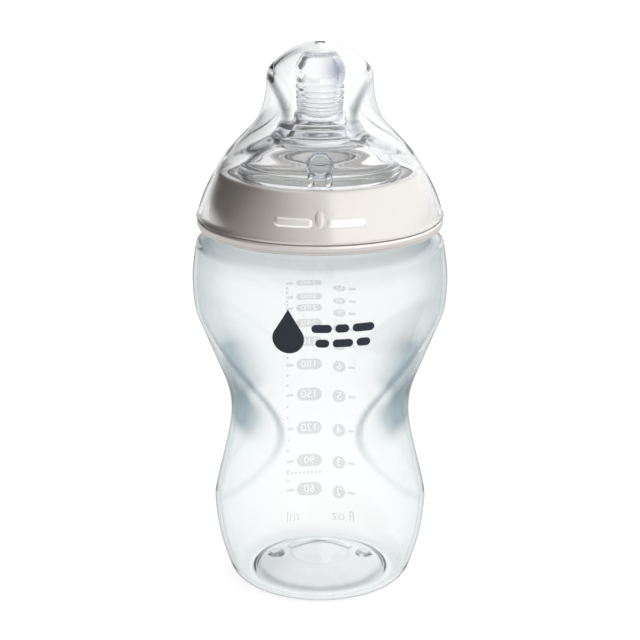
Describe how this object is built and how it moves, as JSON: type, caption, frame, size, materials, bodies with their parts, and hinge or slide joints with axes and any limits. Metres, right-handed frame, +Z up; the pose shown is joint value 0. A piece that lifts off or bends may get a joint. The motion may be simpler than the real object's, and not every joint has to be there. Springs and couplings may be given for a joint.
{
  "type": "baby bottle",
  "caption": "Wide-necked feeding bottle with a waisted clear body, screw collar, soft ribbed teat with an air valve and a clear push-on cap.",
  "frame": {"origin": "centre of the base, on the plane it stands on", "axes": "+Z up along the bottle, -Y towards the front with the motif, X across the two side grips"},
  "size_m": [0.0816, 0.0817, 0.1769],
  "materials": {
    "clear_body": "clear, faintly blue-green polypropylene, glossy",
    "collar": "glossy warm off-white polypropylene",
    "silicone": "clear soft silicone, smooth",
    "clear_cap": "clear polypropylene, glossy",
    "scale_ink": "light grey printed ink",
    "motif_ink": "dark navy printed ink"
  },
  "bodies": {
    "bottle": {"bottle_body": "clear_body", "graduation_print": "scale_ink", "front_print": "motif_ink"},
    "teat": {"teat": "silicone"},
    "collar": {"screw_collar": "collar"},
    "cap": {"hygienic_cap": "clear_cap"}
  },
  "joints": [
    {"name": "head_rise", "type": "slide", "parent": "bottle", "child": "teat", "axis": [0, 0, 1], "range_m": [0, 0.015]},
    {"name": "collar_turn", "type": "hinge", "parent": "teat", "child": "collar", "pos_m": [0, 0, 0.12], "axis": [0, 0, 1], "range_deg": [0, 1080]},
    {"name": "cap_pull", "type": "slide", "parent": "collar", "child": "cap", "axis": [0, 0, 1], "range_m": [0, 0.06]}
  ],
  "couplings": [
    {"joint": "head_rise", "follows": "collar_turn", "m_per_rad": 0.00079577}
  ]
}
